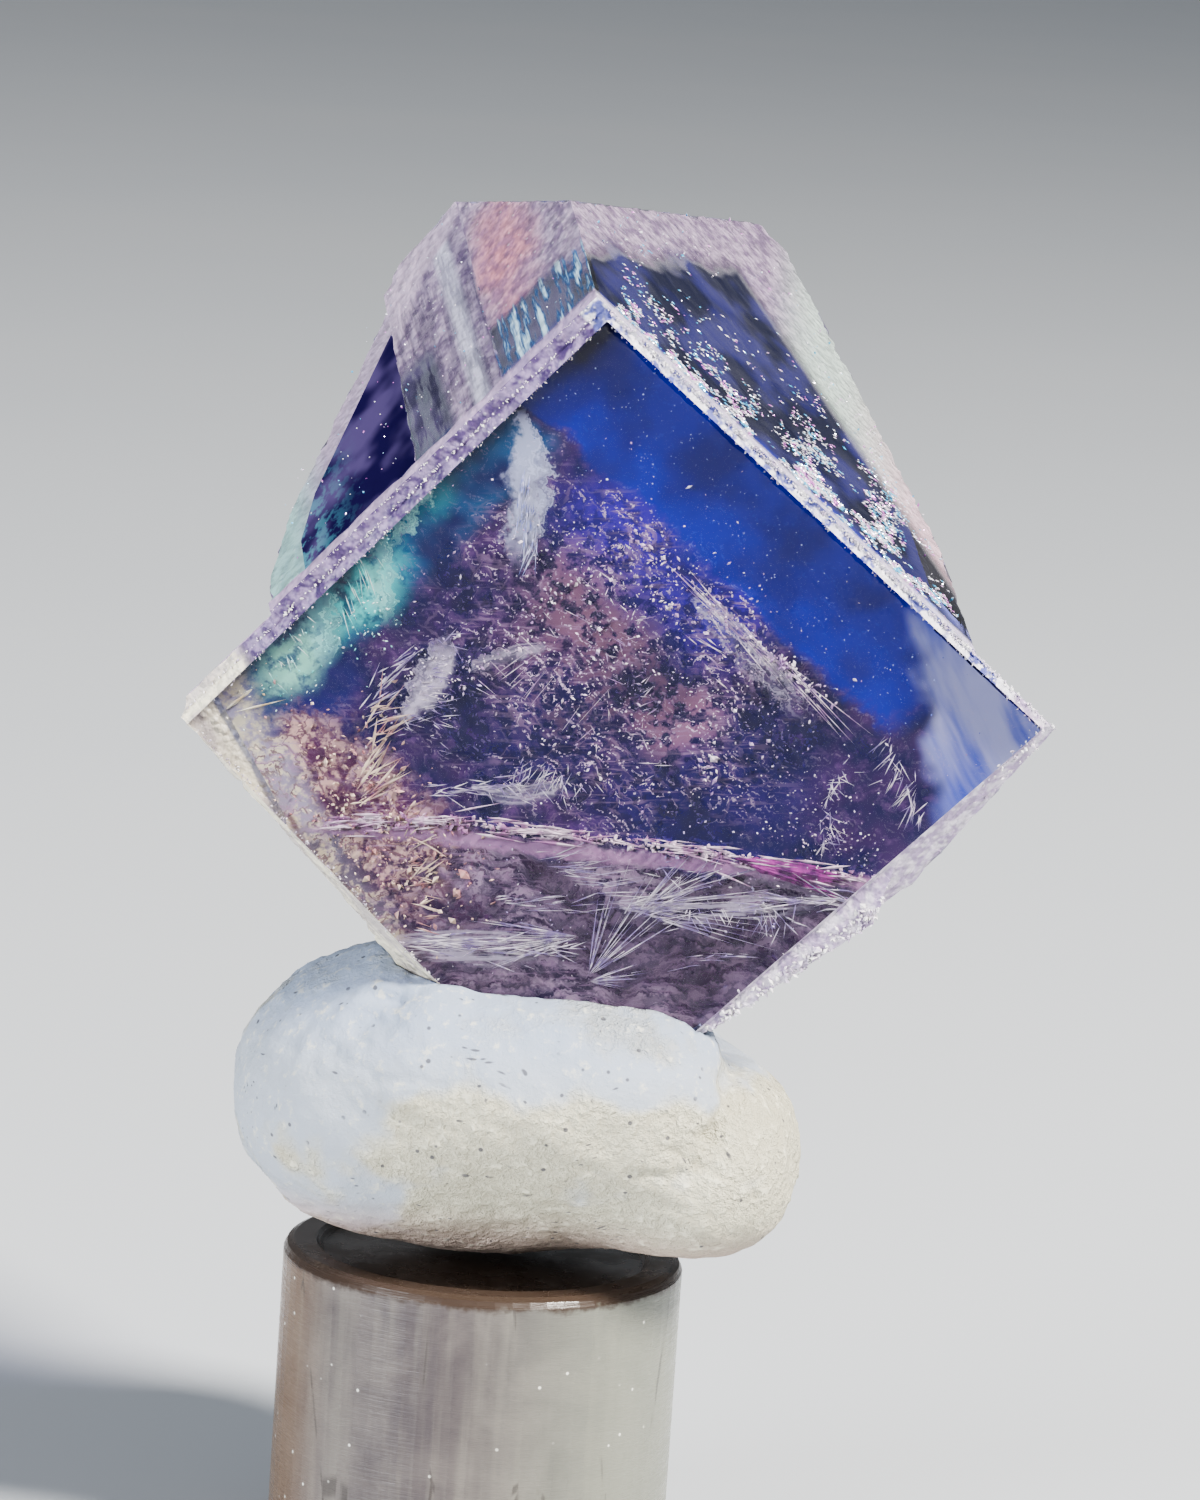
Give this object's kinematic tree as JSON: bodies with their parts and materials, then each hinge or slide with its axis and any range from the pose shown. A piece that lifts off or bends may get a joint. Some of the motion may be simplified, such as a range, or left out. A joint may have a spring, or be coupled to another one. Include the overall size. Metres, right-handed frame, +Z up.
{
  "type": "fluorite crystal on a display post",
  "caption": "Cleaved fluorite crystal, clear to deep blue and violet with a square front face, pressed corner down in white mineral putty on a cloudy round post.",
  "frame": {"origin": "centre of the post's flat foot", "axes": "+Z up along the post, -Y towards the crystal's square front face, +X to the viewer's right"},
  "size_m": [0.0208, 0.0162, 0.0344],
  "materials": {
    "fluorite": "clear to deep blue and violet, bright cleaved front, etched sides",
    "putty": "matte cream white with soft folds and fine dark specks",
    "post": "cloudy translucent resin with fine scratches"
  },
  "bodies": {
    "root": {"fluorite_crystal": "fluorite", "mineral_putty": "putty", "display_post": "post"}
  },
  "joints": []
}
